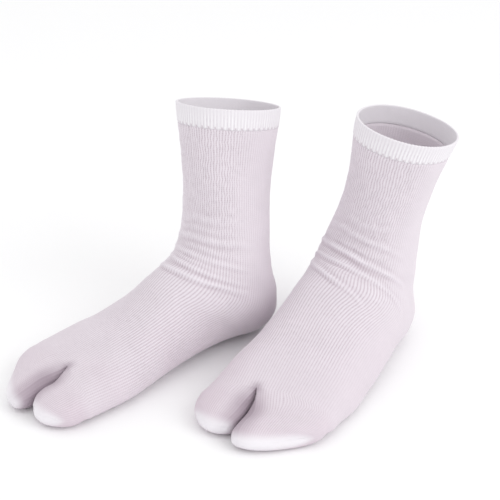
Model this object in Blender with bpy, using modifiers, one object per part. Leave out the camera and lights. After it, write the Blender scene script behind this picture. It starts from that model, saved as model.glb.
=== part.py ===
"""Pair of split-toe tabi socks in their worn form: hollow knitted tubes that stand on their soles.

Each sock is one knitted tube, open at the top, with a turned heel and two toe pockets, and one
doubled welt that sits on the tube's top edge.  Metres, +Z up, toes towards -Y, soles on z = 0, the
wearer's right sock at -X.
"""

import math
from collections import namedtuple

import bmesh
import bpy
import numpy as np

MM = 0.001

# Driving dimensions.
KNIT_WALL = 1.5 * MM            # leg, heel and foot
WELT_WALL = 2.0 * MM            # the welt is doubled, so it is thicker
WELT_PROUD = 0.4 * MM           # how far the welt stands outside the leg
SEAM_GAP = 0.3 * MM             # between the tube's edge and the welt
FOOT_CENTRE = 110.0 * MM        # from the heel's back to the point that each sock turns about
SOCK_SPACING = 119.8 * MM       # between the two socks' turning points
SOCK_STEP = 81.5 * MM           # the right sock stands this far ahead of the left one

# The leg's lean, in millimetres.
LEAN_HEIGHT = 75.0              # the leg leans from this height up
LEAN_SOFTNESS = 30.0            # and is halfway to its full lean this much higher
LEG_CENTRE = 40.0               # how far forward of the heel's back the leg's middle is

# How finely the tube is faceted.
AROUND = 28                     # faces round the tube
STEPS = 2                       # rows between two sections
SLIT_TOP = 1                    # the slit's place in the ring, counted from the top centre
SLIT_SOLE = 13                  # and on the sole
SLIT_FACES = 4                  # faces down each wall of the slit
SLIT_TURN = 40.0                # the tube wraps this far past a pocket's top and sole, in degrees
OUTLINE_POINTS = 360            # points on an outline before it is shared out evenly

# Sections through one sock, from the welt's top edge down the leg, round the heel and out to the
# root of the toes.  Each lies in the plane through its front (or top) point and its back (or
# bottom) point.  In millimetres: out is measured forwards from the heel's back, up from the floor.
#   half      half of the section's width
#   side      shift of the whole section towards the inner side of the foot
#   low       how far the widest place sits below the middle, from 0 to 1
#   top_round, sole_round   2 is an ellipse, more is squarer
#   slant     how much further forward the inner side is than the middle
#   ridge     shift of the instep's ridge towards the inner side
#   spread    the share of a foot's spread that shows here, from 0 to 1
Section = namedtuple(
    "Section",
    "name front_out front_up back_out back_up half side low top_round sole_round slant ridge spread",
)
SECTIONS = (
    Section("welt top", 85, 203.5, -6, 198, 41.5, 1, 0.00, 2.1, 2.1, 0, 0, 0),
    Section("welt seam", 84, 187, -4.5, 181.5, 39.5, 1.5, 0.00, 2.1, 2.1, 0, 0, 0),
    Section("leg", 80, 152, -1.5, 148, 35, 1, 0.00, 2.1, 2.1, 0, 0, 0),
    Section("small of leg", 78.5, 119.5, 3, 118, 35.5, 2, 0.05, 2.1, 2.1, 0, 0, 0),
    Section("ankle", 80, 96, 4.5, 88, 39, 2, 0.02, 2.1, 2.2, 0, 1.5, 0.2),
    Section("ankle bones", 85, 85.5, 4.5, 60, 41.5, 3.5, 0.05, 2.1, 2.3, 0, 1.5, 0.25),
    Section("heel cord", 94, 80.5, -2.5, 34, 42, 5.5, 0.08, 2.2, 2.4, 0, 1.5, 0.3),
    Section("heel", 102, 74.5, 0.5, 10, 45.5, 4, 0.14, 2.3, 2.4, 0, 2.5, 0.4),
    Section("heel turn", 112, 70, 20.5, -1.5, 45.5, 2, 0.20, 2.4, 2.4, 0, 5.5, 0.6),
    Section("heel pad", 123, 65.5, 52, -1, 43.5, -1.5, 0.22, 2.4, 2.4, 0, 10, 0.8),
    Section("arch", 137.5, 57.5, 94, 1.5, 45.5, -4, 0.37, 2.2, 2.3, 2, 13, 1),
    Section("waist", 158, 48, 137, -0.5, 48.5, -4, 0.40, 2.15, 2.5, 5, 11.5, 0.75),
    Section("ball", 179.5, 41.5, 173, -1.5, 52.5, -2.5, 0.42, 2.2, 2.8, 8, 8, 0.3),
    Section("toe root", 213, 30.5, 212.5, -1, 52.5, -1, 0.30, 2.4, 2.8, 12, 2, 0),
)
SPREAD_UP = 0.85                # how much of its spread raises the instep

# Sections through the two toe pockets, from behind the slit to the linked toe seam.
#   inner_out, outer_out   how far forward the section's inner and outer edges are
#   bulge      how much further forward than both its middle is
#   inner, outer           how far towards the inner side of the foot those edges are
#   top, sole              its height
Pocket = namedtuple("Pocket", "inner_out outer_out bulge inner outer top sole")
BIG_TOE = (
    Pocket(232, 230, 0, 51.5, 8, 25, -1),
    Pocket(238.5, 239.5, 1, 50.5, 8, 23, -1),
    Pocket(244.5, 246, 3, 48, 9.5, 20.5, 1),
    Pocket(249.5, 251, 5, 43, 13, 15.5, 4.5),
    Pocket(250.5, 252, 6, 41, 15, 12, 9.5),
)
FOUR_TOES = (
    Pocket(236, 208.5, 1, 7, -52, 24.5, -1),
    Pocket(248.5, 216, 3, 7, -51, 21.5, -1),
    Pocket(256.5, 222.5, 5, 6, -47.5, 18.5, 1),
    Pocket(260.5, 226.5, 8, 3, -42.5, 14, 4),
    Pocket(261.5, 227.5, 9, 1, -40.5, 11, 8.5),
)
POCKET_ROUND = 2.3              # squareness of a pocket's section
SLIT_ROUND = 3.2                # and of its side along the slit, where it is pressed flatter

# The two socks.  inner_sign points from the sock towards its partner along X; forward is its
# share of the step ahead; back_lean and out_lean are the leg's leans, in millimetres for each
# millimetre of height; splay is how far the toes turn outwards, in degrees; spread is how much
# wider the foot's waist is than in the sections, in millimetres on each side.
Sock = namedtuple("Sock", "side inner_sign forward back_lean out_lean splay spread")
SOCKS = (
    Sock("right", 1, 0.5, 0.148, 0.181, 5.8, 0.0),
    Sock("left", -1, -0.5, 0.028, 0.188, 8.7, 2.8),
)

KNIT_COLOUR = (0.81, 0.76, 0.80, 1.0)
WELT_COLOUR = (0.86, 0.84, 0.87, 1.0)
CLOTH_ROUGHNESS = 0.9


def clear_scene():
    """Remove whatever the file holds, so that only the socks are in it."""
    for old in list(bpy.data.objects):
        bpy.data.objects.remove(old, do_unlink=True)


def cloth_material(name, colour):
    """A plain matt cloth."""
    material = bpy.data.materials.new(name)
    material.use_nodes = True
    shader = material.node_tree.nodes["Principled BSDF"]
    shader.inputs["Base Color"].default_value = colour
    shader.inputs["Roughness"].default_value = CLOTH_ROUGHNESS
    shader.inputs["Metallic"].default_value = 0.0
    return material


def rounded(angle, roundness):
    """The unit outline's inward and upward parts at an angle from its top."""
    power = 2.0 / roundness
    up = np.sign(np.cos(angle)) * np.abs(np.cos(angle)) ** power
    across = np.sign(np.sin(angle)) * np.abs(np.sin(angle)) ** power
    return across, up


def share_out(points, count):
    """The same closed outline with its points evenly spaced along it."""
    closed = np.vstack([points, points[:1]])
    steps = np.linalg.norm(np.diff(closed, axis=0), axis=1)
    walked = np.concatenate([[0.0], np.cumsum(steps)])
    stops = np.linspace(0.0, walked[-1], count, endpoint=False)
    return np.column_stack([np.interp(stops, walked, closed[:, k]) for k in range(3)])


def section_ring(section, sock):
    """A section's outline as (inner, out, up) points, from its top centre round the inner side."""
    spread = sock.spread * section.spread
    section = section._replace(
        half=section.half + spread,
        front_up=section.front_up + SPREAD_UP * spread,
    )
    angle = np.linspace(0.0, 2.0 * np.pi, OUTLINE_POINTS, endpoint=False)
    roundness = np.where(np.cos(angle) >= 0.0, section.top_round, section.sole_round)
    across, rise = rounded(angle, roundness)
    front = np.array([section.front_out, section.front_up])
    back = np.array([section.back_out, section.back_up])
    widest = (front + back) / 2.0 - section.low * (front - back) / 2.0
    above = np.clip(rise, 0.0, None)[:, None]
    below = np.clip(-rise, 0.0, None)[:, None]
    place = widest + above * (front - widest) + below * (back - widest)
    inner = section.half * across + section.side + section.ridge * ((rise + 1.0) / 2.0) ** 2
    out = place[:, 0] + section.slant * across
    return share_out(np.column_stack([inner, out, place[:, 1]]), AROUND)


def pocket_ring(pocket, angle, slit_sign):
    """A toe pocket's outline at the given angles from its top, positive towards the inner side."""
    roundness = np.where(slit_sign * np.sin(angle) > 0.0, SLIT_ROUND, POCKET_ROUND)
    across, rise = rounded(angle, roundness)
    inner = (pocket.inner + pocket.outer) / 2.0 + (pocket.inner - pocket.outer) / 2.0 * across
    out = (pocket.inner_out + pocket.outer_out) / 2.0
    out = out + (pocket.inner_out - pocket.outer_out) / 2.0 * across
    out = out + pocket.bulge * (1.0 - across ** 2)
    up = (pocket.top + pocket.sole) / 2.0 + (pocket.top - pocket.sole) / 2.0 * rise
    return np.column_stack([inner, out, up])


def smooth_rows(rings, steps):
    """Rows on smooth curves through the rings, with the given number of steps between two."""
    before = 2.0 * rings[0] - rings[1]
    after = 2.0 * rings[-1] - rings[-2]
    knots = [before, *rings, after]
    rows = []
    for k in range(1, len(knots) - 2):
        a, b, c, d = knots[k - 1 : k + 3]
        for step in range(steps):
            t = step / steps
            linear = (c - a) * t
            square = (2.0 * a - 5.0 * b + 4.0 * c - d) * t ** 2
            cubic = (3.0 * b - a - 3.0 * c + d) * t ** 3
            rows.append(b + 0.5 * (linear + square + cubic))
    rows.append(rings[-1])
    return rows


def stand(points, sock):
    """Lean the leg, set the sole on the floor, and turn (inner, out, up) into metres in X, Y, Z."""
    inner, out, up = points[:, 0], points[:, 1], points[:, 2]
    height = np.clip(up - LEAN_HEIGHT, 0.0, None)
    bend = height / (height + LEAN_SOFTNESS)
    up = up + bend * (sock.back_lean * (out - LEG_CENTRE) + sock.out_lean * inner)
    out = out - sock.back_lean * bend * height
    inner = inner - sock.out_lean * bend * height
    up = np.clip(up, 0.0, None)
    return np.column_stack([sock.inner_sign * inner * MM, FOOT_CENTRE - out * MM, up * MM])


def add_row(mesh, points):
    """One new vertex for each point."""
    return [mesh.verts.new(point) for point in points]


def join_rows(mesh, upper, lower):
    """Quads between two closed rows of vertices."""
    count = len(upper)
    for k in range(count):
        after = (k + 1) % count
        mesh.faces.new((upper[k], lower[k], lower[after], upper[after]))


def close_seam(mesh, row, start):
    """Link a pocket's last row shut, top edge to sole edge, from its inner end at start."""
    ring = row[start:] + row[:start]
    half = (len(ring) - 1) // 2
    mesh.faces.new((ring[0], ring[-1], ring[1]))
    for k in range(1, half):
        mesh.faces.new((ring[-k], ring[-k - 1], ring[k + 1], ring[k]))
    if len(ring) % 2 == 0:
        mesh.faces.new((ring[-half], ring[half + 1], ring[half]))


def add_pocket(mesh, sock, first_row, first_points, pockets, slit_sign, angle):
    """Loft one toe pocket on from the slit, and link its end."""
    rings = [first_points] + [pocket_ring(pocket, angle, slit_sign) for pocket in pockets]
    rows = [first_row]
    for points in smooth_rows(rings, STEPS)[1:]:
        rows.append(add_row(mesh, stand(points, sock)))
        join_rows(mesh, rows[-2], rows[-1])
    inner_end = int(np.argmax(np.sin(angle)))
    close_seam(mesh, rows[-1], inner_end)


def pocket_angles(first, last, count):
    """Angles of a pocket's ring: count points of the knitted tube, then those of the slit wall."""
    tube = np.linspace(first, last, count)
    wall = np.linspace(last, first + 360.0, SLIT_FACES + 1)[1:-1]
    return np.radians(np.concatenate([tube, wall]))


def tube_rows(sock):
    """All rows of the leg and foot, from the welt's top edge to the root of the toes."""
    return smooth_rows([section_ring(section, sock) for section in SECTIONS], STEPS)


def sock_mesh(sock):
    """The knitted tube below the welt, as one open surface that faces outwards."""
    mesh = bmesh.new()
    points = tube_rows(sock)[STEPS:]
    rows = [add_row(mesh, stand(points[0], sock))]
    for ring in points[1:]:
        rows.append(add_row(mesh, stand(ring, sock)))
        join_rows(mesh, rows[-2], rows[-1])

    # The slit's crotch runs from the top of the last row to its sole, and both pockets share it.
    last_row, last_points = rows[-1], points[-1]
    down = np.linspace(0.0, 1.0, SLIT_FACES + 1)[1:-1, None]
    crotch_points = last_points[SLIT_TOP] * (1.0 - down) + last_points[SLIT_SOLE] * down
    crotch_row = add_row(mesh, stand(crotch_points, sock))
    big = list(range(SLIT_TOP, SLIT_SOLE + 1))
    four = [k % AROUND for k in range(SLIT_SOLE, AROUND + SLIT_TOP + 1)]
    add_pocket(
        mesh, sock,
        [last_row[k] for k in big] + crotch_row[::-1],
        np.vstack([last_points[big], crotch_points[::-1]]),
        BIG_TOE, -1, pocket_angles(-SLIT_TURN, 180.0 + SLIT_TURN, len(big)),
    )
    add_pocket(
        mesh, sock,
        [last_row[k] for k in four] + crotch_row,
        np.vstack([last_points[four], crotch_points]),
        FOUR_TOES, 1, pocket_angles(180.0 - SLIT_TURN, 360.0 + SLIT_TURN, len(four)),
    )
    return mesh


def welt_mesh(sock):
    """The doubled welt, as one open band that starts just above the tube's edge."""
    mesh = bmesh.new()
    points = tube_rows(sock)[: STEPS + 1]
    height = np.linalg.norm(points[0].mean(axis=0) - points[-1].mean(axis=0))
    gap = SEAM_GAP / MM / height
    points[-1] = points[-1] * (1.0 - gap) + points[0] * gap
    rows = [add_row(mesh, stand(points[0], sock))]
    for ring in points[1:]:
        rows.append(add_row(mesh, stand(ring, sock)))
        join_rows(mesh, rows[-2], rows[-1])
    return mesh


def cloth_object(name, mesh, sock, wall, proud, material, collection, parent):
    """A named object whose wall stands out of its surface by proud and fills the rest inwards."""
    if sock.inner_sign < 0:
        bmesh.ops.reverse_faces(mesh, faces=mesh.faces)
    data = bpy.data.meshes.new(name)
    mesh.to_mesh(data)
    mesh.free()
    data.materials.append(material)
    data.shade_smooth()
    piece = bpy.data.objects.new(name, data)
    collection.objects.link(piece)
    piece.parent = parent
    solid = piece.modifiers.new("wall", "SOLIDIFY")
    solid.thickness = wall
    solid.offset = 2.0 * proud / wall - 1.0
    solid.use_even_offset = True
    return piece


def centre_on_floor(pieces, pair):
    """Move the pair so that the origin is under the middle of its box."""
    bpy.context.view_layer.update()
    corners = []
    for piece in pieces:
        points = np.empty(3 * len(piece.data.vertices))
        piece.data.vertices.foreach_get("co", points)
        corners.append(np.array(piece.matrix_world) @ np.vstack(
            [points.reshape(-1, 3).T, np.ones(len(points) // 3)]))
    everything = np.hstack(corners)[:2]
    middle = (everything.min(axis=1) + everything.max(axis=1)) / 2.0
    pair.location = (-middle[0], -middle[1], 0.0)


def main():
    """Build both socks."""
    clear_scene()
    collection = bpy.data.collections.new("tabi_socks")
    bpy.context.scene.collection.children.link(collection)
    knit = cloth_material("knit", KNIT_COLOUR)
    welt = cloth_material("welt", WELT_COLOUR)
    pair = bpy.data.objects.new("pair", None)
    collection.objects.link(pair)
    pieces = []
    for sock in SOCKS:
        foot = bpy.data.objects.new(f"{sock.side}_foot", None)
        collection.objects.link(foot)
        foot.parent = pair
        foot.location = (-sock.inner_sign * SOCK_SPACING / 2.0, -sock.forward * SOCK_STEP, 0.0)
        foot.rotation_euler = (0.0, 0.0, -sock.inner_sign * math.radians(sock.splay))
        pieces.append(cloth_object(
            f"{sock.side}_sock", sock_mesh(sock), sock, KNIT_WALL, 0.0, knit, collection, foot))
        pieces.append(cloth_object(
            f"{sock.side}_cuff", welt_mesh(sock), sock, WELT_WALL, WELT_PROUD, welt,
            collection, foot))
    centre_on_floor(pieces, pair)


main()
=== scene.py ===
"""A pair of split-toe tabi socks in fine cotton jersey, standing in their worn form on a pale floor.

Metres, +Z up, toes towards -Y, soles on z = 0, the wearer's right sock at -X.
"""

import itertools
import math
from collections import namedtuple

import bpy
import numpy as np
from mathutils import Matrix, Vector


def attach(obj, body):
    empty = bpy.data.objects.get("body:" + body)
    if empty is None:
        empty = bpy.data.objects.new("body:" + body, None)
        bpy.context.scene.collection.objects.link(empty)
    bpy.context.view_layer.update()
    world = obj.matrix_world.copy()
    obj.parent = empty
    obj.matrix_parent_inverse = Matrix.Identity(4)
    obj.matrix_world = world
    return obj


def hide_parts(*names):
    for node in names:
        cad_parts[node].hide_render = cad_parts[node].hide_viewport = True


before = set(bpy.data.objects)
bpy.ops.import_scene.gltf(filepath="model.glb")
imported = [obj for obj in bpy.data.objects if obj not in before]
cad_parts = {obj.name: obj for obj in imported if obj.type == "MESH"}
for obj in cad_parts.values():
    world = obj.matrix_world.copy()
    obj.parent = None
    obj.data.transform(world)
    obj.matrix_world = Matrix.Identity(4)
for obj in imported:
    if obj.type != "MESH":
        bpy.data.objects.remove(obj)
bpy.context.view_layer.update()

# ---------------------------------------------------------------------------------------------
# The two knitted tubes.  Each is one piece of fine cotton jersey off a circular sock machine:
# leg, turned heel and foot in one, with two toe pockets whose ends are linked shut.  The wales
# run down the leg and along the foot, and open where the leg and the instep stretch them.
# ---------------------------------------------------------------------------------------------

MM = 0.001

# How each sock stands.
FOOT_CENTRE = 110.0             # from the heel's back to the point that each sock turns about
SOCK_SPACING = 119.8            # between the two turning points
SOCK_STEP = 81.5                # the right sock stands this far ahead of the left one
PAIR_ASIDE = -2.40              # moves the pair, so that the origin is under its middle
PAIR_BACK = 15.16
LEAN_HEIGHT = 75.0              # the leg leans from this height up
LEAN_SOFTNESS = 30.0            # and is halfway to its full lean this much higher
LEG_CENTRE = 40.0               # how far forward of the heel's back the leg's middle is

# The knit.
WALES = 108                     # wales round the tube
WALE_POINTS = 3                 # mesh points across one wale: its crest and its two flanks
AROUND = WALES * WALE_POINTS
ROW_PITCH = 1.9                 # longest step between two mesh rows
COURSE = 1.5                    # height of one course of stitches
WALL = 1.3                      # thickness of the knit
RIB = 0.24                      # how far a wale's crest stands out where the knit is stretched
SLIT_TOP = 4 * WALE_POINTS      # the slit's place in the ring, counted from the top centre
SLIT_SOLE = 50 * WALE_POINTS    # and on the sole
SLIT_FACES = 24                 # faces down each wall of the slit
SLIT_TURN = 40.0                # the tube wraps this far past a pocket's top and sole, in degrees
POCKET_ROUND = 2.3              # squareness of a pocket's section
SLIT_ROUND = 3.2                # and of its side along the slit, where it is pressed flatter
OUTLINE_POINTS = 1440           # points on an outline before it is shared out evenly
SEAM_ROLL = 0.22                # how far a linked toe seam stands up
SEAM_BACK = 1.2                 # how far the roll lies from the pocket's end
SEAM_WIDTH = 1.3
CREASE_WANDER = 0.06            # how far a crease's line strays, in sections
LINING_STEP = 2                 # the inner face has one row for this many outer ones
LINING_SHORT = 4.0              # and stops this far short of a toe seam

# Sections through one sock, from the welt's top edge to the root of the toes.  Each lies in the
# plane through its front (or top) point and its back (or bottom) point: out is forwards from
# the heel's back, up from the floor, half the half width, side a shift towards the inner side,
# low how far the widest place sits below the middle, slant how much further forward the inner
# side is, ridge a shift of the instep's ridge towards the inner side, and spread the share of a
# foot's spread that shows here.
Section = namedtuple(
    "Section",
    "name front_out front_up back_out back_up half side low top_round sole_round slant ridge spread",
)
SECTIONS = (
    Section("welt top", 85, 203.5, -6, 198, 41.5, 1, 0.00, 2.1, 2.1, 0, 0, 0),
    Section("welt seam", 84, 187, -4.5, 181.5, 39.5, 1.5, 0.00, 2.1, 2.1, 0, 0, 0),
    Section("leg", 80, 152, -1.5, 148, 35, 1, 0.00, 2.1, 2.1, 0, 0, 0),
    Section("small of leg", 78.5, 119.5, 3, 118, 35.5, 2, 0.05, 2.1, 2.1, 0, 0, 0),
    Section("ankle", 80, 96, 4.5, 88, 39, 2, 0.02, 2.1, 2.2, 0, 1.5, 0.2),
    Section("ankle bones", 85, 85.5, 4.5, 60, 41.5, 3.5, 0.05, 2.1, 2.3, 0, 1.5, 0.25),
    Section("heel cord", 94, 80.5, -2.5, 34, 42, 5.5, 0.08, 2.2, 2.4, 0, 1.5, 0.3),
    Section("heel", 102, 74.5, 0.5, 10, 45.5, 4, 0.14, 2.3, 2.4, 0, 2.5, 0.4),
    Section("heel turn", 112, 70, 20.5, -1.5, 45.5, 2, 0.20, 2.4, 2.4, 0, 5.5, 0.6),
    Section("heel pad", 123, 65.5, 52, -1, 43.5, -1.5, 0.22, 2.4, 2.4, 0, 10, 0.8),
    Section("arch", 137.5, 57.5, 94, 1.5, 45.5, -4, 0.37, 2.2, 2.3, 2, 13, 1),
    Section("waist", 158, 48, 137, -0.5, 48.5, -4, 0.40, 2.15, 2.5, 5, 11.5, 0.75),
    Section("ball", 179.5, 41.5, 173, -1.5, 52.5, -2.5, 0.42, 2.2, 2.8, 8, 8, 0.3),
    Section("toe root", 213, 30.5, 212.5, -1, 52.5, -1, 0.30, 2.4, 2.8, 12, 2, 0),
)
SPREAD_UP = 0.85                # how much of its spread raises the instep

# Sections through the toe pockets, from behind the slit to the linked seam: how far forward the
# inner and outer edges are, how much further forward the middle is, how far those edges lie
# towards the inner side, and the heights.
Pocket = namedtuple("Pocket", "inner_out outer_out bulge inner outer top sole")
BIG_TOE = (
    Pocket(232, 230, 0, 51.5, 8, 25, -1),
    Pocket(238.5, 239.5, 1, 50.5, 8, 23, -1),
    Pocket(244.5, 246, 3, 48, 9.5, 20.5, 1),
    Pocket(249.5, 251, 5, 43, 13, 15.5, 4.5),
    Pocket(250.5, 252, 6, 41, 15, 12, 9.5),
)
FOUR_TOES = (
    Pocket(236, 208.5, 1, 7, -52, 24.5, -1),
    Pocket(248.5, 216, 3, 7, -51, 21.5, -1),
    Pocket(256.5, 222.5, 5, 6, -47.5, 18.5, 1),
    Pocket(260.5, 226.5, 8, 3, -42.5, 14, 4),
    Pocket(261.5, 227.5, 9, 1, -40.5, 11, 8.5),
)

# Creases, each a soft ridge between two troughs.  place is where it crosses the turn named by
# angle, counted in sections from the welt's top; angle is round the tube from the front, towards
# the inner side; reach is how far it runs each way; fall and bow give its slope and curve, in
# sections for each 60 degrees; height and width are the ridge's, in millimetres.
Crease = namedtuple("Crease", "place angle reach fall bow height width")
RIGHT_CREASES = (
    Crease(3.28, 15, 70, -0.08, 0.13, 0.45, 2.6),
    Crease(3.62, 0, 55, -0.05, 0.15, 0.30, 2.0),
    Crease(3.96, 10, 85, -0.15, 0.20, 0.90, 2.4),
    Crease(4.45, 25, 50, 0.10, 0.10, 0.40, 1.8),
    Crease(5.03, 10, 80, -0.08, 0.05, 0.90, 2.0),
    Crease(5.50, -5, 45, 0.10, 0.05, 0.45, 1.5),
    Crease(6.00, 10, 75, 0.00, -0.10, 0.85, 1.8),
    Crease(6.75, 10, 80, -0.35, 0.00, 1.40, 2.1),
    Crease(3.90, 175, 50, 0.10, 0.10, 0.50, 3.0),
    Crease(4.55, -170, 65, -0.10, 0.15, 0.65, 3.2),
    Crease(5.10, 165, 45, 0.10, 0.20, 0.40, 3.0),
)
LEFT_CREASES = (
    Crease(2.92, -15, 60, -0.05, 0.15, 0.35, 2.4),
    Crease(3.37, 0, 75, -0.17, 0.31, 0.80, 2.3),
    Crease(3.85, 5, 45, -0.20, 0.20, 0.35, 1.8),
    Crease(4.35, 0, 95, -0.45, 0.50, 1.60, 2.1),
    Crease(4.80, 15, 40, -0.30, 0.20, 0.40, 1.5),
    Crease(5.25, 0, 95, -0.60, 0.70, 1.35, 2.0),
    Crease(5.85, -10, 45, -0.70, 0.40, 0.35, 1.5),
    Crease(6.45, 15, 65, -1.30, 0.80, 1.10, 1.9),
    Crease(4.05, -170, 60, 0.10, 0.15, 0.60, 3.0),
    Crease(4.75, 170, 50, -0.10, 0.10, 0.45, 3.2),
    Crease(3.40, -150, 40, 0.10, 0.10, 0.35, 3.0),
)

# inner_sign points from the sock towards its partner along X; the leans are in millimetres for
# each millimetre of height; splay is how far the toes turn outwards, in degrees, and spread how
# much wider the foot's waist is than in the sections; rib_turn is where round the foot the ribs
# show best, in degrees.
Sock = namedtuple(
    "Sock", "side inner_sign forward back_lean out_lean splay spread rib_turn seed creases"
)
SOCKS = (
    Sock("right", 1, 0.5, 0.148, 0.181, 5.8, 0.0, 18.0, 11, RIGHT_CREASES),
    Sock("left", -1, -0.5, 0.028, 0.188, 8.7, 2.8, -4.0, 23, LEFT_CREASES),
)


def smooth_step(low, high, value):
    """0 below low, 1 above high, and a smooth rise between them; high may be the lower one."""
    t = np.clip((value - low) / (high - low), 0.0, 1.0)
    return t * t * (3.0 - 2.0 * t)


def lumps(points, seed):
    """Smooth random heights from -1 to 1, with a new one for each unit of the points."""
    table = np.random.default_rng(seed).uniform(-1.0, 1.0, (32, 32, 32))
    cell = np.floor(points).astype(int)
    part = points - cell
    part = part * part * (3.0 - 2.0 * part)
    total = np.zeros(points.shape[:-1])
    for corner in itertools.product((0, 1), repeat=3):
        weight = np.prod(np.where(corner, part, 1.0 - part), axis=-1)
        at = (cell + np.array(corner)) % 32
        total += weight * table[at[..., 0], at[..., 1], at[..., 2]]
    return total


def rounded(angle, roundness):
    """The unit outline's inward and upward parts at an angle from its top."""
    power = 2.0 / roundness
    up = np.sign(np.cos(angle)) * np.abs(np.cos(angle)) ** power
    across = np.sign(np.sin(angle)) * np.abs(np.sin(angle)) ** power
    return across, up


def share_out(points, count):
    """The same closed outline with its points evenly spaced along it."""
    steps = np.linalg.norm(np.diff(points, axis=0), axis=1)
    walked = np.concatenate([[0.0], np.cumsum(steps)])
    stops = np.linspace(0.0, walked[-1], count, endpoint=False)
    return np.column_stack([np.interp(stops, walked, points[:, k]) for k in range(3)])


def section_ring(section, sock):
    """A section's outline as (inner, out, up) points, from its top centre round the inner side."""
    spread = sock.spread * section.spread
    section = section._replace(
        half=section.half + spread, front_up=section.front_up + SPREAD_UP * spread)
    angle = np.linspace(0.0, 2.0 * np.pi, OUTLINE_POINTS + 1)
    roundness = np.where(np.cos(angle) >= 0.0, section.top_round, section.sole_round)
    across, rise = rounded(angle, roundness)
    front = np.array([section.front_out, section.front_up])
    back = np.array([section.back_out, section.back_up])
    widest = (front + back) / 2.0 - section.low * (front - back) / 2.0
    above = np.clip(rise, 0.0, None)[:, None]
    below = np.clip(-rise, 0.0, None)[:, None]
    place = widest + above * (front - widest) + below * (back - widest)
    inner = section.half * across + section.side + section.ridge * ((rise + 1.0) / 2.0) ** 2
    out = place[:, 0] + section.slant * across
    return share_out(np.column_stack([inner, out, place[:, 1]]), AROUND)


def pocket_ring(pocket, first, last, count, slit_sign):
    """A pocket's outline: count points of the tube from first to last, then the slit's wall."""
    tube = np.linspace(first, last, count)
    wall = np.linspace(last, first + 360.0, SLIT_FACES + 1)[1:-1]
    angle = np.radians(np.concatenate([tube, wall]))
    roundness = np.where(slit_sign * np.sin(angle) > 0.0, SLIT_ROUND, POCKET_ROUND)
    across, rise = rounded(angle, roundness)
    inner = (pocket.inner + pocket.outer) / 2.0 + (pocket.inner - pocket.outer) / 2.0 * across
    out = (pocket.inner_out + pocket.outer_out) / 2.0
    out = out + (pocket.inner_out - pocket.outer_out) / 2.0 * across
    out = out + pocket.bulge * (1.0 - across ** 2)
    up = (pocket.top + pocket.sole) / 2.0 + (pocket.top - pocket.sole) / 2.0 * rise
    return np.column_stack([inner, out, up])


def even_out(rows, places, width):
    """Slide a pocket's knitted points along each row, so that its wales stay evenly spaced."""
    result = rows.copy()
    for row, place, fresh in zip(rows, places, result):
        steps = np.linalg.norm(np.diff(row[:width], axis=0), axis=1)
        walked = np.concatenate([[0.0], np.cumsum(steps)])
        share = smooth_step(0.0, 1.0, place)
        stops = walked * (1.0 - share) + np.linspace(0.0, walked[-1], width) * share
        for k in range(3):
            fresh[:width, k] = np.interp(stops, walked, row[:width, k])
    return result


def smooth_rows(rings):
    """Rows on smooth curves through the rings, and each row's place counted in rings."""
    before = 2.0 * rings[0] - rings[1]
    after = 2.0 * rings[-1] - rings[-2]
    knots = [before, *rings, after]
    rows, places = [], []
    for k in range(1, len(knots) - 2):
        a, b, c, d = knots[k - 1 : k + 3]
        steps = math.ceil(np.linalg.norm(c - b, axis=1).max() / ROW_PITCH)
        for step in range(steps):
            t = step / steps
            linear = (c - a) * t
            square = (2.0 * a - 5.0 * b + 4.0 * c - d) * t ** 2
            cubic = (3.0 * b - a - 3.0 * c + d) * t ** 3
            rows.append(b + 0.5 * (linear + square + cubic))
            places.append(k - 1 + t)
    rows.append(rings[-1])
    places.append(len(rings) - 1.0)
    return np.array(rows), np.array(places)


def stand(points, sock):
    """Lean the leg, set the sole on the floor, and place (inner, out, up) in the pair, in mm."""
    inner, out, up = points[..., 0], points[..., 1], points[..., 2]
    height = np.clip(up - LEAN_HEIGHT, 0.0, None)
    bend = height / (height + LEAN_SOFTNESS)
    up = up + bend * (sock.back_lean * (out - LEG_CENTRE) + sock.out_lean * inner)
    out = out - sock.back_lean * bend * height
    inner = inner - sock.out_lean * bend * height
    x, y = sock.inner_sign * inner, FOOT_CENTRE - out
    turn = math.radians(-sock.inner_sign * sock.splay)
    across = x * math.cos(turn) - y * math.sin(turn) - sock.inner_sign * SOCK_SPACING / 2.0
    along = x * math.sin(turn) + y * math.cos(turn) - sock.forward * SOCK_STEP
    across, along = across + PAIR_ASIDE, along + PAIR_BACK
    return np.stack([across, along, np.clip(up, 0.0, None)], axis=-1)


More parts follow.
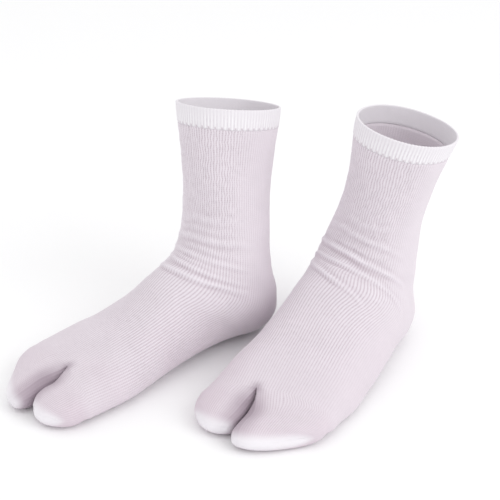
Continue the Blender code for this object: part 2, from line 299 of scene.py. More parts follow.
class Cloth:
    """A mesh in the making: points and their values, and faces with their places in the knit."""

    def __init__(self):
        """An empty mesh."""
        self.points, self.faces, self.places = [], [], []
        self.values = {}
        self.count = 0

    def add(self, points, **values):
        """New points in any grid, and their numbers in the same grid."""
        numbers = self.count + np.arange(points[..., 0].size).reshape(points.shape[:-1])
        self.count += numbers.size
        self.points.append(points.reshape(-1, 3))
        for name, value in values.items():
            spread = np.broadcast_to(value, numbers.shape).ravel()
            self.values.setdefault(name, []).append(spread.astype(float))
        return numbers

    def join(self, numbers, wale, course):
        """Quads over a grid whose rows close on themselves; wale has one column more."""
        wale = np.broadcast_to(wale, (len(numbers), numbers.shape[1] + 1))
        course = np.broadcast_to(np.reshape(course, (-1, 1)), wale.shape)
        after = np.roll(numbers, -1, axis=1)
        ring = [numbers[:-1], numbers[1:], after[1:], after[:-1]]
        across = [wale[:-1, :-1], wale[1:, :-1], wale[1:, 1:], wale[:-1, 1:]]
        along = [course[:-1, :-1], course[1:, :-1], course[1:, 1:], course[:-1, 1:]]
        self.faces += np.stack(ring, -1).reshape(-1, 4).tolist()
        self.places.append(np.stack([np.stack(across, -1), np.stack(along, -1)], -1).reshape(-1, 2))

    def link_shut(self, row, start, wale, course):
        """Faces that link a pocket's last row shut, top edge to sole edge, from its inner end."""
        ring = np.roll(row, -start).tolist()
        half = len(ring) // 2
        made = [(ring[0], ring[-1], ring[1])]
        made += [(ring[-k], ring[-k - 1], ring[k + 1], ring[k]) for k in range(1, half - 1)]
        made += [(ring[1 - half], ring[half], ring[half - 1])]
        self.faces += made
        self.places.append(np.full((sum(map(len, made)), 2), (wale, course)))

    def all_points(self):
        """Every point added so far, in order."""
        return np.vstack(self.points)

    def value(self, name):
        """One of the points' values, in the same order."""
        return np.concatenate(self.values[name])


def outward(points, faces):
    """Each point's outward direction, from the faces round it."""
    quads = np.array([(*face, face[0])[:4] for face in faces])
    corners = points[quads]
    across = np.cross(corners[:, 2] - corners[:, 0], corners[:, 3] - corners[:, 1])
    normals = np.zeros_like(points)
    for k in range(4):
        np.add.at(normals, quads[:, k], across)
    return normals / np.maximum(np.linalg.norm(normals, axis=1, keepdims=True), 1e-9)


def walked_down(grid):
    """How far down its column each point of a grid lies, in millimetres."""
    steps = np.linalg.norm(np.diff(grid, axis=0), axis=2)
    return np.vstack([np.zeros((1, grid.shape[1])), np.cumsum(steps, axis=0)])


def crease_heights(sock, grid, places, degrees):
    """How far the creases lift each point of the leg and foot."""
    walked = walked_down(grid)
    column = np.arange(walked.shape[1])
    total = np.zeros(walked.shape)
    for number, crease in enumerate(sock.creases):
        turn = (degrees - crease.angle + 180.0) % 360.0 - 180.0
        share = np.clip(np.abs(turn) / crease.reach, 0.0, 1.0)
        fade = (1.0 - share ** 2) ** 1.5
        along = np.stack([degrees / 22.0, np.full_like(degrees, number * 3.7), 0.0 * degrees], -1)
        line = crease.place + crease.fall * turn / 60.0 + crease.bow * (turn / 60.0) ** 2
        line = np.clip(line + CREASE_WANDER * lumps(along, sock.seed), places[0], places[-1])
        row = np.interp(line, places, np.arange(len(places)))
        low = np.floor(row).astype(int).clip(0, len(places) - 2)
        here = walked[low, column] * (1.0 - row + low) + walked[low + 1, column] * (row - low)
        far = (walked - here) / crease.width
        swell = 1.0 + 0.3 * lumps(along * 1.7 + 9.0, sock.seed + 1)
        ridge = np.exp(-np.where(far > 0.0, far * 1.3, far) ** 2)
        below = 0.55 * np.exp(-((far - 1.7) / 0.8) ** 2)
        above = 0.35 * np.exp(-((far + 2.1) / 1.0) ** 2)
        total += crease.height * fade * swell * (ridge - below - above)
    return total


def knit_tube(sock):
    """One sock's tube: an outer face with wales and creases, and the inner face inside it."""
    tube, places = smooth_rows([section_ring(section, sock) for section in SECTIONS])
    tube, places = tube[places >= 1.0], places[places >= 1.0]
    down = np.linspace(0.0, 1.0, SLIT_FACES + 1)[1:-1, None]
    crotch = tube[-1, SLIT_TOP] * (1.0 - down) + tube[-1, SLIT_SOLE] * down
    columns = np.arange(AROUND)
    degrees = (columns * 360.0 / AROUND + 180.0) % 360.0 - 180.0

    # The leg and foot, down to the root of the toes.
    cloth = Cloth()
    leg = stand(tube, sock)
    course = walked_down(leg)[:, [0, AROUND // 4, 3 * AROUND // 4]].mean(axis=1)
    main = cloth.add(
        leg, place=places[:, None], turn=degrees, column=columns, run=course[:, None],
        tip=200.0, wall=0.0, crease=crease_heights(sock, leg, places, degrees),
        crotch=np.linalg.norm(leg - leg[-1, SLIT_TOP], axis=2))
    wale = np.arange(AROUND + 1) / WALE_POINTS
    cloth.join(main, wale, course)
    fork = cloth.add(
        stand(crotch, sock), place=places[-1], turn=0.0, column=np.arange(1, SLIT_FACES),
        run=course[-1], tip=50.0, wall=1.0, crease=0.0, crotch=4.0)
    grids = [(main, np.arange(0, AROUND, WALE_POINTS), wale, course, None)]

    # The two toe pockets share the fork between them.
    big = np.arange(SLIT_TOP, SLIT_SOLE + 1)
    four = np.arange(SLIT_SOLE, AROUND + SLIT_TOP + 1) % AROUND
    for sections, slit_sign, tube_part, fork_part, first, last, inner_end in (
        (BIG_TOE, -1, big, slice(None, None, -1), -SLIT_TURN, 180.0 + SLIT_TURN, "tube"),
        (FOUR_TOES, 1, four, slice(None), 180.0 - SLIT_TURN, 360.0 + SLIT_TURN, "wall"),
    ):
        width = len(tube_part)
        rings = [np.vstack([tube[-1, tube_part], crotch[fork_part]])]
        rings += [pocket_ring(section, first, last, width, slit_sign) for section in sections]
        rows, pocket_places = smooth_rows(rings)
        points = stand(even_out(rows, pocket_places, width), sock)
        extra = np.arange(1, SLIT_FACES)
        # The wall value ramps up towards the slit; it carries painted shade into the groove between
        # the pockets and softens the wales there.
        edge = np.minimum(np.arange(width), np.arange(width)[::-1])
        inwards = np.concatenate([0.7 * smooth_step(24.0, 0.0, edge) ** 1.5, 0.0 * extra + 1.0])
        run = course[-1] + walked_down(points).mean(axis=1)
        new = cloth.add(
            points[1:], place=places[-1] + pocket_places[1:, None],
            turn=np.concatenate([degrees[tube_part], 0.0 * extra]),
            column=np.concatenate([tube_part, extra]), run=run[1:, None],
            tip=walked_down(points[::-1])[::-1][1:],
            wall=inwards * smooth_step(-0.6, 1.0, pocket_places[1:, None]), crease=0.0,
            crotch=np.linalg.norm(points[1:] - leg[-1, SLIT_TOP], axis=2))
        numbers = np.vstack([np.concatenate([main[-1, tube_part], fork[fork_part]]), new])
        wale = tube_part[0] / WALE_POINTS + np.arange(len(numbers[0]) + 1) / WALE_POINTS
        cloth.join(numbers, wale, run)
        start = (width - 1) // 2 if inner_end == "tube" else width - 1 + SLIT_FACES // 2
        cloth.link_shut(numbers[-1], start, wale[0], run[-1])
        picked = np.concatenate([
            np.arange(0, width, WALE_POINTS),
            width - 1 + np.arange(WALE_POINTS, SLIT_FACES, WALE_POINTS)])
        grids.append((numbers, picked, wale, run, int(np.where(picked == start)[0][0])))
    return cloth, grids


def dress_tube(sock, cloth, grids):
    """Raise the wales, creases and toe seams on the outer face, and hang the inner face inside."""
    points, faces = cloth.all_points(), cloth.faces
    sign = sock.inner_sign
    normals = outward(points, faces) * sign
    place, turn, tip = cloth.value("place"), cloth.value("turn"), cloth.value("tip")
    column, run, wall = cloth.value("column"), cloth.value("run"), cloth.value("wall")

    # Where the knit is stretched open, from 0 to 1: the front of the leg and the instep.
    on_leg = smooth_step(6.6, 5.6, place)
    middle = 8.0 * on_leg + sock.rib_turn * (1.0 - on_leg)
    aside = np.abs((turn - middle + 180.0) % 360.0 - 180.0)
    patchy = lumps(points / 24.0, sock.seed + 2)
    stretch = smooth_step(88.0, 40.0, aside + 10.0 * patchy)
    stretch = (0.14 + 0.86 * stretch) * smooth_step(3.0, 12.0, tip + 3.0 * patchy)
    stretch = stretch * (1.0 - 0.45 * smooth_step(11.0, 12.8, place)) * (1.0 - 0.6 * wall)

    # On the leg the wales wriggle and break up; on the foot they run straight.
    wriggly = smooth_step(5.2, 4.2, place) * smooth_step(75.0, 45.0, aside)
    fine = np.stack([column / WALE_POINTS / 1.2, run / 2.6, 0.0 * run + sock.seed], -1)
    broken = lumps(fine, sock.seed + 3)
    crest = np.where(column % WALE_POINTS == 0, 1.0, -0.5)
    pebbly = lumps(fine * [0.9, 0.75, 1.0] + 11.0, sock.seed + 10)
    lift = RIB * crest * stretch * (1.0 - 0.3 * wriggly + (0.3 + 0.9 * wriggly) * broken)
    lift = lift + RIB * stretch * (0.15 + 0.85 * wriggly) * pebbly
    slow = fine * [0.35, 0.33, 1.0] + 5.0
    sway = (0.10 + 0.45 * wriggly) * lumps(fine * [0.8, 1.0, 1.0] + 5.0, sock.seed + 4)
    sway = sway + (0.12 + 0.4 * wriggly) * lumps(slow, sock.seed + 9)

    # The linked seam at the end of each pocket stands up as a roll.
    seam_roll = SEAM_ROLL * np.exp(-((tip - SEAM_BACK) / SEAM_WIDTH) ** 2)
    uneven = 0.32 * lumps(points / 17.0, sock.seed + 5) + 0.12 * lumps(points / 7.0, sock.seed + 6)
    uneven = uneven * smooth_step(2.0, 14.0, points[:, 2])
    drape = cloth.value("crease") + uneven
    aside_way = np.cross([0.0, 0.0, 1.0], normals)
    outer = points + normals * (lift + drape + seam_roll)[:, None] + aside_way * sway[:, None]
    outer[:, 2] = np.clip(outer[:, 2], 0.0, None)

    # The inner face has a point for each wale, and ends short of the toe seams.
    hung = points + normals * (drape - WALL)[:, None]
    inner_number = np.full(len(points), -1)
    chosen = []
    lining = Cloth()
    lining.count = len(points)
    for numbers, picked, wale, course, start in grids:
        rows = np.arange(0, len(numbers), LINING_STEP)
        if start is not None:
            rows = rows[tip[numbers[rows, 0]] > LINING_SHORT]
        else:
            rows = np.unique(np.append(rows, len(numbers) - 1))
        wanted = numbers[np.ix_(rows, picked)]
        fresh = np.unique(wanted[inner_number[wanted] < 0])
        inner_number[fresh] = lining.count + np.arange(len(fresh))
        lining.count += len(fresh)
        chosen.append(fresh)
        grid = inner_number[wanted][:, ::-1]
        across = wale[np.append(picked, len(wale) - 1)][::-1]
        lining.join(grid, across, course[rows])
        if start is not None:
            lining.link_shut(grid[-1], len(picked) - 1 - start, across[0], course[rows[-1]])
    chosen = np.concatenate(chosen)

    # The top edge joins the two faces, three outer points to each inner one.
    rim = []
    top, inside = grids[0][0][0], inner_number[grids[0][0][0]]
    for k in range(0, AROUND, WALE_POINTS):
        a, b, c, d = top[[k, k + 1, k + 2, (k + 3) % AROUND]]
        near, far = inside[k], inside[(k + 3) % AROUND]
        rim += [(near, a, b), (near, b, c, far), (far, c, d)]
    everything = np.vstack([outer, hung[chosen]])
    all_faces = faces + lining.faces + rim
    all_places = np.vstack(cloth.places + lining.places + [np.zeros((10 * WALES, 2))])
    values = {
        "stretch": np.concatenate([stretch, 0.35 * stretch[chosen]]),
        "linked": np.concatenate([smooth_step(11.0, 0.0, tip), 0.0 * chosen]),
        "slit": np.concatenate([slit_shade_of(wall, place, cloth.value("crotch")), 0.0 * chosen]),
        # painted highlight on the creases' ridges and painted shade in their troughs
        "crease_light_shade": np.concatenate([cloth.value("crease"), 0.0 * chosen]),
        "tint_and_shade": np.concatenate([tint_and_shade_of(sock, points, place, turn, tip, wall), 0.0 * chosen]),
        "inside": np.concatenate([0.0 * tip, 0.0 * chosen + 1.0]),
    }
    return everything, all_faces, all_places, values


def slit_shade_of(wall, place, crotch):
    """How deep in the slit a point lies, from 0 to 1: there the knit is painted with shade."""
    deep = wall * (0.45 + 0.55 * smooth_step(17.8, 13.5, place))
    return np.clip(deep + 0.75 * np.exp(-(crotch / 4.5) ** 2), 0.0, 1.0)


def tint_and_shade_of(sock, points, place, turn, tip, wall):
    """Where the knit is painted warmer and darker, from 0 to 1: a warm tint over the toes and the
    inner side, and painted shade over the foot and in the slit.
    """
    toes = smooth_step(12.5, 14.5, place) * smooth_step(2.0, 9.0, tip)
    inner_side = smooth_step(7.0, 9.5, place)
    inner_side = inner_side * smooth_step(10.0, 55.0, turn) * smooth_step(150.0, 95.0, turn)
    patchy = 0.5 + 0.5 * lumps(points / 20.0, sock.seed + 7)
    # The foot and the slit's walls get painted shade; the toes and the inner side a warm tint.
    foot_shade = 0.35 * smooth_step(6.5, 10.5, place) * (0.6 + 0.4 * patchy)
    aside = 0.45 * inner_side * patchy
    return np.clip(foot_shade + 0.6 * toes * (0.5 + 0.5 * patchy) + aside + 0.5 * wall, 0.0, 1.0)


def mesh_object(name, points, faces, places, values, flip):
    """A smooth-shaded mesh object in metres, with its knit places and its painted values."""
    order = -1 if flip else 1
    data = bpy.data.meshes.new(name)
    data.from_pydata((points * MM).tolist(), [], [face[::order] for face in faces])
    layer = data.uv_layers.new(name="wales")
    if flip:
        sizes = np.array([len(face) for face in faces])
        ends = np.cumsum(sizes)
        first = np.repeat(ends - sizes, sizes)
        last = np.repeat(ends - 1, sizes)
        places = places[last - (np.arange(len(places)) - first)]
    layer.uv.foreach_set("vector", places.astype(np.float32).ravel())
    for value_name, value in values.items():
        attribute = data.attributes.new(value_name, "FLOAT", "POINT")
        attribute.data.foreach_set("value", value.astype(np.float32))
    data.shade_smooth()
    data.update()
    piece = bpy.data.objects.new(name, data)
    bpy.context.scene.collection.objects.link(piece)
    return piece


def new_node(tree, kind, settings=(), **inputs):
    """A node with its settings and inputs; an input is a value or another node's output."""
    node = tree.nodes.new(kind)
    for name, value in dict(settings).items():
        setattr(node, name, value)
    for name, value in inputs.items():
        socket = node.inputs[int(name[1:]) if name[1:].isdigit() else name.replace("_", " ")]
        if isinstance(value, bpy.types.NodeSocket):
            tree.links.new(value, socket)
        else:
            socket.default_value = value
    return node


def maths(tree, operation, *values):
    """The output of one Math node."""
    inputs = {f"i{k}": value for k, value in enumerate(values)}
    return new_node(tree, "ShaderNodeMath", {"operation": operation}, **inputs).outputs[0]


def blend(tree, share, first, second):
    """The output of a colour Mix node, from first to second."""
    node = tree.nodes.new("ShaderNodeMix")
    node.data_type = "RGBA"
    for socket, value in ((node.inputs[0], share), (node.inputs[6], first), (node.inputs[7], second)):
        if isinstance(value, bpy.types.NodeSocket):
            tree.links.new(value, socket)
        else:
            socket.default_value = value
    return node.outputs[2]


def painted(tree, name):
    """A value painted on the mesh's points."""
    return new_node(tree, "ShaderNodeAttribute", {"attribute_name": name}).outputs["Fac"]


def jersey_group():
    """Jersey stitches on a place of (wale, millimetres down): their height, valleys and dots."""
    group = bpy.data.node_groups.new("jersey stitches", "ShaderNodeTree")
    for name, kind in (("Place", "NodeSocketVector"), ("Course", "NodeSocketFloat")):
        group.interface.new_socket(name, in_out="INPUT", socket_type=kind)
    for name in ("Height", "Valley", "Dots", "Fleck"):
        group.interface.new_socket(name, in_out="OUTPUT", socket_type="NodeSocketFloat")
    given = group.nodes.new("NodeGroupInput")
    result = group.nodes.new("NodeGroupOutput")
    split = new_node(group, "ShaderNodeSeparateXYZ", Vector=given.outputs["Place"])
    wale, run = split.outputs[0], split.outputs[1]
    centred = maths(group, "SUBTRACT", maths(group, "FRACT", wale), 0.5)
    from_valley = maths(group, "MULTIPLY", maths(group, "ABSOLUTE", centred), 2.0)
    valley = maths(group, "SUBTRACT", 1.0, from_valley)
    course = maths(group, "DIVIDE", run, given.outputs["Course"])
    # Each stitch is a V: its two legs meet on the wale's crest.
    slanted = maths(group, "ADD", course, maths(group, "MULTIPLY", from_valley, 0.55))
    wave = maths(group, "COSINE", maths(group, "MULTIPLY", slanted, 2.0 * math.pi))
    stitch = maths(group, "MULTIPLY_ADD", wave, 0.5, 0.5)
    dots = maths(group, "MULTIPLY", maths(group, "POWER", valley, 2.0), stitch)
    whole = maths(group, "FLOOR", maths(group, "ADD", wale, 0.5))
    streak = maths(group, "MULTIPLY", course, 0.35)
    cell = new_node(group, "ShaderNodeCombineXYZ", i0=whole, i1=streak)
    fleck = new_node(
        group, "ShaderNodeTexNoise", {"noise_dimensions": "2D"}, Vector=cell.outputs[0], Scale=1.0,
        Detail=1.0)
    height = maths(group, "MULTIPLY_ADD", stitch, 0.45, maths(group, "MULTIPLY", from_valley, 0.55))
    for name, value in (
        ("Height", height), ("Valley", valley), ("Dots", dots), ("Fleck", fleck.outputs[0]),
    ):
        group.links.new(value, result.inputs[name])
    return group


JERSEY = jersey_group()

KNIT_CREST_AND_HIGHLIGHT = (0.82, 0.775, 0.825, 1.0)      # the wales' crests, nearly white; also the painted highlight on the creases' ridges
KNIT_BODY = (0.73, 0.67, 0.72, 1.0)         # the smooth knit, a pale lilac white
KNIT_VALLEY_AND_SHADE = (0.47, 0.385, 0.435, 1.0)     # between wales, warmer and darker; also the painted shade in the creases' troughs and the welt's dimples
KNIT_TINT_AND_SHADE = (0.65, 0.555, 0.62, 1.0)       # a warm tint over the toes and the inner side, and painted shade over the foot and the slit
KNIT_SEAM = (0.90, 0.885, 0.92, 1.0)        # the linked toe seams
KNIT_SLIT_SHADE = (0.30, 0.235, 0.285, 1.0)       # painted shade deep between the toe pockets
FOLD_LIGHT_AND_SHADE = 0.45                # how strongly a crease of one millimetre is painted: a painted highlight on its ridge, painted shade in its troughs
NAP_SCALE = 1400.0              # grain of the short nap, for each metre


def knit_material():
    """Matt cotton jersey with a short nap."""
    material = bpy.data.materials.new("knit")
    material.use_nodes = True
    tree = material.node_tree
    shader = tree.nodes["Principled BSDF"]
    wales = new_node(tree, "ShaderNodeUVMap", {"uv_map": "wales"})
    jersey = new_node(tree, "ShaderNodeGroup", {"node_tree": JERSEY})
    jersey.inputs["Course"].default_value = COURSE
    tree.links.new(wales.outputs[0], jersey.inputs["Place"])
    stretch = painted(tree, "stretch")
    place = new_node(tree, "ShaderNodeTexCoord").outputs["Object"]
    cloudy = new_node(tree, "ShaderNodeTexNoise", Vector=place, Scale=38.0, Detail=3.0, Roughness=0.6)
    fluffy = new_node(tree, "ShaderNodeTexNoise", Vector=place, Scale=NAP_SCALE, Detail=2.0)
    # A warm tint over the toes and the inner side, with painted shade over the foot and in the slit.
    tinting_and_shading = maths(tree, "MULTIPLY", painted(tree, "tint_and_shade"), 0.8)
    body = blend(tree, tinting_and_shading, KNIT_BODY, KNIT_TINT_AND_SHADE)
    crest = maths(tree, "SUBTRACT", 1.0, jersey.outputs["Valley"])
    crest = maths(tree, "MULTIPLY", maths(tree, "POWER", crest, 1.5), stretch)
    crested = blend(tree, maths(tree, "MULTIPLY", crest, 0.75), body, KNIT_CREST_AND_HIGHLIGHT)
    grooved = maths(tree, "POWER", jersey.outputs["Valley"], 3.0)
    grooved = maths(tree, "MULTIPLY", grooved, 0.35)
    dotted = maths(tree, "MULTIPLY_ADD", jersey.outputs["Dots"], 0.75, grooved)
    dotted = maths(tree, "MULTIPLY", dotted, stretch)
    flecked = maths(tree, "MULTIPLY_ADD", jersey.outputs["Fleck"], 1.6, 0.1)
    dotted = maths(tree, "MULTIPLY", dotted, flecked)
    valleyed = blend(tree, dotted, crested, KNIT_VALLEY_AND_SHADE)
    # Painted light on the creases: a painted highlight along each ridge and painted shade in its
    # troughs.
    crease_light_shade = painted(tree, "crease_light_shade")
    clamped = {"operation": "MULTIPLY", "use_clamp": True}
    ridge = new_node(tree, "ShaderNodeMath", clamped, i0=crease_light_shade, i1=FOLD_LIGHT_AND_SHADE)
    trough_shade = new_node(tree, "ShaderNodeMath", clamped, i0=crease_light_shade, i1=-FOLD_LIGHT_AND_SHADE)
    ridge_highlighted = blend(tree, ridge.outputs[0], valleyed, KNIT_CREST_AND_HIGHLIGHT)
    trough_shaded = blend(tree, trough_shade.outputs[0], ridge_highlighted, KNIT_VALLEY_AND_SHADE)
    # Painted shade deep in the slit between the toe pockets.
    slit = blend(tree, maths(tree, "MULTIPLY", painted(tree, "slit"), 0.8), trough_shaded, KNIT_SLIT_SHADE)
    seamed = blend(tree, maths(tree, "MULTIPLY", painted(tree, "linked"), 0.75), slit, KNIT_SEAM)
    shade = maths(tree, "MULTIPLY_ADD", cloudy.outputs[0], 0.10, 0.95)
    toned = new_node(tree, "ShaderNodeVectorMath", {"operation": "SCALE"})
    tree.links.new(seamed, toned.inputs[0])
    tree.links.new(shade, toned.inputs["Scale"])
    tree.links.new(toned.outputs[0], shader.inputs["Base Color"])
    rough = maths(tree, "MULTIPLY_ADD", cloudy.outputs[0], 0.12, 0.84)
    tree.links.new(rough, shader.inputs["Roughness"])
    height = maths(tree, "MULTIPLY_ADD", fluffy.outputs[0], 0.35, jersey.outputs["Height"])
    bump = new_node(tree, "ShaderNodeBump", Strength=0.6, Distance=0.00022, Height=height)
    tree.links.new(bump.outputs[0], shader.inputs["Normal"])
    shader.inputs["Sheen Weight"].default_value = 0.22
    shader.inputs["Sheen Roughness"].default_value = 0.45
    shader.inputs["Specular IOR Level"].default_value = 0.25
    return material


KNIT = knit_material()

for sock in SOCKS:
    points, faces, places, values = dress_tube(sock, *knit_tube(sock))
    tube = mesh_object(f"{sock.side}_knit", points, faces, places, values, sock.inner_sign < 0)
    tube.data.materials.append(KNIT)
    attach(tube, "root")
    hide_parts(f"{sock.side}_sock")

# ---------------------------------------------------------------------------------------------
# The two welts.  Each is the doubled start of the tube: a fine rib knitted in white elastic
# yarn, turned over on itself and picked up again, which leaves a line of small dimples along
# its lower edge.
# ---------------------------------------------------------------------------------------------

WELT_RIBS = 96                  # ribs round the band
RIB_POINTS = 6                  # mesh points across one rib
WELT_HEIGHT = 18.0              # its nominal depth, fitted to the 17 or so between its two sections
WELT_PROUD = 0.4                # how far its outer face stands outside the leg
WELT_WALL = 2.0                 # thickness of the doubled band
WELT_RIB = 0.15                 # how far a rib stands out
WELT_PITCH = 0.75               # between rows of its outer face
INSIDE_PITCH = 1.5              # and of its inner face
WELT_COURSE = 1.2               # height of one of its courses
DIMPLE = 0.4                    # how deep a dimple is
DIMPLE_UP = 0.9                 # and how far above the lower edge
DIMPLE_SIZE = 0.6


def welt_profile():
    """The band's section, from its lower outer edge over the top and down inside: (down, out)."""
    radius = WELT_WALL / 2.0
    middle = WELT_PROUD - radius
    outer = [(down, WELT_PROUD) for down in np.arange(WELT_HEIGHT - 0.6, radius, -WELT_PITCH)]
    turned = [
        (radius - radius * math.sin(math.radians(a)), middle + radius * math.cos(math.radians(a)))
        for a in range(0, 181, 15)
    ]
    inside = np.arange(radius + INSIDE_PITCH, WELT_HEIGHT, INSIDE_PITCH)
    inner = [(down, middle - radius) for down in inside]
    lower = [(WELT_HEIGHT, middle - radius * 0.5), (WELT_HEIGHT, middle + radius * 0.5)]
    return outer + turned + inner + lower


def welt_band(sock):
    """One welt: its profile swept round the leg's top, with fine ribs and a row of dimples."""
    count = WELT_RIBS * RIB_POINTS
    tube, places = smooth_rows([section_ring(section, sock) for section in SECTIONS[:3]])
    tube, places = tube[places <= 1.2], places[places <= 1.2]
    columns = np.arange(count) * AROUND / count
    low = np.floor(columns).astype(int)
    part = (columns - low)[:, None]
    rings = stand(tube[:, low] * (1.0 - part) + tube[:, (low + 1) % AROUND] * part, sock)
    along = np.gradient(rings, axis=0)
    across = np.roll(rings, -1, 1) - np.roll(rings, 1, 1)
    normals = np.cross(along, across) * sock.inner_sign
    normals = normals / np.linalg.norm(normals, axis=2, keepdims=True)
    profile = np.array(welt_profile())
    wave = np.cos(2.0 * np.pi * np.arange(count) / RIB_POINTS)
    pair_wave = np.cos(np.pi * np.arange(count) / RIB_POINTS)
    degrees = (np.arange(count) * 360.0 / count + 180.0) % 360.0 - 180.0
    at = np.stack([np.arange(count) / RIB_POINTS / 1.5, 0.0 * wave + sock.seed, 0.0 * wave], -1)
    strength = smooth_step(150.0, 60.0, np.abs(degrees)) * 0.7 + 0.3
    strength = strength * (1.0 + 0.5 * lumps(at, sock.seed + 8))
    cloth = Cloth()
    grid, dimples, shown = [], [], []
    for down, out in profile:
        outside = smooth_step(WELT_PROUD - WELT_WALL, WELT_PROUD, out)
        edge = down + 0.22 * wave * strength * (smooth_step(4.0, 0.0, down) * -1.0)
        edge = edge + 0.05 * pair_wave * smooth_step(15.5, 17.5, down) * outside
        ribs = WELT_RIB * wave * strength * outside * smooth_step(1.0, 9.0, down)
        pit = outside * np.exp(-((down - WELT_HEIGHT + DIMPLE_UP) / DIMPLE_SIZE) ** 2)
        pit = pit * smooth_step(-0.5, -0.95, pair_wave)
        lift = out + ribs - DIMPLE * pit
        row = np.clip(edge / WELT_HEIGHT, -0.05, 1.15)
        at_row = np.interp(row, places, np.arange(len(places)))
        base = np.floor(at_row).astype(int).clip(0, len(places) - 2)
        share = (at_row - base)[:, None]
        column = np.arange(count)
        point = rings[base, column] * (1.0 - share) + rings[base + 1, column] * share
        facing = normals[base, column] * (1.0 - share) + normals[base + 1, column] * share
        grid.append(point + facing * np.reshape(lift, (-1, 1)))
        dimples.append(pit * np.ones(count))
        shown.append(strength * outside * (0.35 + 0.65 * smooth_step(3.0, 12.0, down)))
    grid, dimples, shown = np.array(grid), np.array(dimples), np.array(shown)
    numbers = cloth.add(grid, dimple=dimples, stretch=shown)
    closed = np.vstack([numbers, numbers[:1]])
    wale = np.arange(count + 1) / RIB_POINTS
    course = np.append(profile[:, 0] + 40.0 * (profile[:, 1] < -1.5), WELT_HEIGHT)
    cloth.join(closed[::-1], wale, course[::-1])
    values = {"dimple": cloth.value("dimple"), "stretch": cloth.value("stretch")}
    return cloth.all_points(), cloth.faces, np.vstack(cloth.places), values


WELT_CREST = (0.88, 0.865, 0.89, 1.0)       # the ribs' crests, the whitest knit here
WELT_BODY = (0.79, 0.76, 0.795, 1.0)
WELT_GROOVE = (0.64, 0.60, 0.645, 1.0)      # between ribs


def welt_material():
    """White ribbed cotton over elastic yarn, with a short nap."""
    material = bpy.data.materials.new("welt")
    material.use_nodes = True
    tree = material.node_tree
    shader = tree.nodes["Principled BSDF"]
    wales = new_node(tree, "ShaderNodeUVMap", {"uv_map": "wales"})
    doubled = new_node(tree, "ShaderNodeVectorMath", {"operation": "MULTIPLY"})
    doubled.inputs[1].default_value = (2.0, 1.0, 1.0)
    tree.links.new(wales.outputs[0], doubled.inputs[0])
    jersey = new_node(tree, "ShaderNodeGroup", {"node_tree": JERSEY})
    jersey.inputs["Course"].default_value = WELT_COURSE
    tree.links.new(doubled.outputs[0], jersey.inputs["Place"])
    split = new_node(tree, "ShaderNodeSeparateXYZ", Vector=wales.outputs[0])
    wave = maths(tree, "COSINE", maths(tree, "MULTIPLY", split.outputs[0], 2.0 * math.pi))
    crest = maths(tree, "MULTIPLY_ADD", wave, 0.5, 0.5)
    stretch = painted(tree, "stretch")
    raised = maths(tree, "MULTIPLY", maths(tree, "POWER", crest, 2.0), stretch)
    body = blend(tree, raised, WELT_BODY, WELT_CREST)
    groove = maths(tree, "POWER", maths(tree, "SUBTRACT", 1.0, crest), 4.0)
    groove = maths(tree, "MULTIPLY", groove, stretch)
    flecked = maths(tree, "MULTIPLY_ADD", jersey.outputs["Fleck"], 1.2, -0.2)
    grooved = blend(tree, maths(tree, "MULTIPLY", groove, flecked), body, WELT_GROOVE)
    # Painted shade in the dimples along the welt's lower edge.
    dimple = maths(tree, "MULTIPLY", painted(tree, "dimple"), 0.9)
    dimple_shaded = blend(tree, dimple, grooved, KNIT_VALLEY_AND_SHADE)
    tree.links.new(dimple_shaded, shader.inputs["Base Color"])
    place = new_node(tree, "ShaderNodeTexCoord").outputs["Object"]
    fluffy = new_node(tree, "ShaderNodeTexNoise", Vector=place, Scale=NAP_SCALE, Detail=2.0)
    rough = maths(tree, "MULTIPLY_ADD", fluffy.outputs[0], 0.1, 0.83)
    tree.links.new(rough, shader.inputs["Roughness"])
    height = maths(tree, "MULTIPLY_ADD", fluffy.outputs[0], 0.35, jersey.outputs["Height"])
    bump = new_node(tree, "ShaderNodeBump", Strength=0.5, Distance=0.0002, Height=height)
    tree.links.new(bump.outputs[0], shader.inputs["Normal"])
    shader.inputs["Sheen Weight"].default_value = 0.2
    shader.inputs["Sheen Roughness"].default_value = 0.45
    shader.inputs["Specular IOR Level"].default_value = 0.25
    return material


WELT = welt_material()

for sock in SOCKS:
    welt = mesh_object(f"{sock.side}_welt", *welt_band(sock), sock.inner_sign < 0)
    welt.data.materials.append(WELT)
    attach(welt, "root")
    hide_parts(f"{sock.side}_cuff")

# ---------------------------------------------------------------------------------------------
# The floor and studio.  The pair stands on a wide, matt, nearly white floor.  A plain white
# surround lights it from every side, and two large soft lamps model its form.
# ---------------------------------------------------------------------------------------------

FLOOR_HALF = 20.0
FLOOR_UP = -0.0002              # just under the soles, so that the two share no plane
FLOOR_COLOUR = (0.96, 0.96, 0.965, 1.0)

floor_mesh = bpy.data.meshes.new("floor")
floor_mesh.from_pydata(
    [(-FLOOR_HALF, -FLOOR_HALF, FLOOR_UP), (FLOOR_HALF, -FLOOR_HALF, FLOOR_UP),
     (FLOOR_HALF, FLOOR_HALF, FLOOR_UP), (-FLOOR_HALF, FLOOR_HALF, FLOOR_UP)],
    [], [(0, 1, 2, 3)])
floor = bpy.data.objects.new("floor", floor_mesh)
bpy.context.scene.collection.objects.link(floor)
floor_material = bpy.data.materials.new("floor")
floor_material.use_nodes = True
floor_shader = floor_material.node_tree.nodes["Principled BSDF"]
floor_shader.inputs["Base Color"].default_value = FLOOR_COLOUR
floor_shader.inputs["Roughness"].default_value = 0.9
floor_shader.inputs["Specular IOR Level"].default_value = 0.1
floor_mesh.materials.append(floor_material)

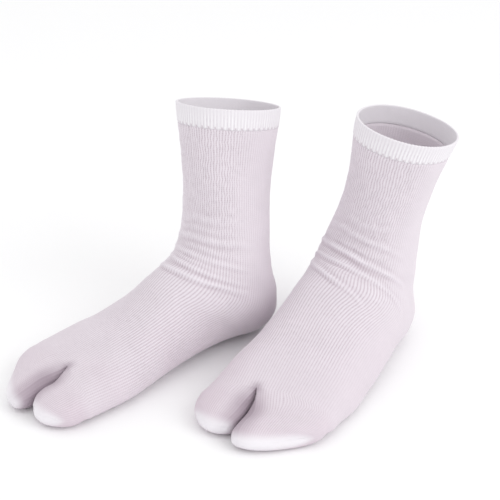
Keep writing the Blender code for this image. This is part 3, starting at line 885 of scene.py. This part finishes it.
world = bpy.data.worlds.new("studio")
bpy.context.scene.world = world
world.use_nodes = True
sky = world.node_tree.nodes["Background"]
sky.inputs["Color"].default_value = (1.0, 1.0, 1.0, 1.0)
sky.inputs["Strength"].default_value = 0.97

# Camera: azimuth and elevation round the pair, the point it looks at, and its roll.
CAMERA_AZIMUTH = 39.07
CAMERA_ELEVATION = 26.69
CAMERA_ROLL = 2.84
CAMERA_DISTANCE = 0.9425
CAMERA_TARGET = Vector((-0.0067, 0.0206, 0.0995))
CAMERA_LENS = 81.75


def aim(azimuth, elevation):
    """The direction from the pair towards a camera or a lamp."""
    a, e = math.radians(azimuth), math.radians(elevation)
    return Vector((math.sin(a) * math.cos(e), -math.cos(a) * math.cos(e), math.sin(e)))


# Soft lamps: azimuth, elevation, distance, width and power.
Lamp = namedtuple("Lamp", "name azimuth elevation distance width power")
LAMPS = (
    Lamp("key", 100.0, 38.0, 2.2, 1.6, 9.5),
    Lamp("fill", 10.0, 55.0, 2.6, 2.4, 3.0),
)
for lamp in LAMPS:
    data = bpy.data.lights.new(lamp.name, "AREA")
    data.shape = "DISK"
    data.size = lamp.width
    data.energy = lamp.power
    light = bpy.data.objects.new(lamp.name, data)
    bpy.context.scene.collection.objects.link(light)
    towards = aim(lamp.azimuth, lamp.elevation)
    light.location = towards * lamp.distance
    light.rotation_mode = "QUATERNION"
    light.rotation_quaternion = (-towards).to_track_quat("-Z", "Y")

back = aim(CAMERA_AZIMUTH, CAMERA_ELEVATION)
azimuth = math.radians(CAMERA_AZIMUTH)
side_way = Vector((math.cos(azimuth), math.sin(azimuth), 0.0))
up_way = back.cross(side_way)
roll = math.radians(CAMERA_ROLL)
right_way = side_way * math.cos(roll) + up_way * math.sin(roll)
top_way = up_way * math.cos(roll) - side_way * math.sin(roll)
camera_data = bpy.data.cameras.new("camera")
camera_data.lens = CAMERA_LENS
camera = bpy.data.objects.new("camera", camera_data)
bpy.context.scene.collection.objects.link(camera)
turned = Matrix((right_way, top_way, back)).transposed()
camera.matrix_world = Matrix.Translation(CAMERA_TARGET + back * CAMERA_DISTANCE) @ turned.to_4x4()
bpy.context.scene.camera = camera
bpy.context.scene.view_settings.view_transform = "Standard"
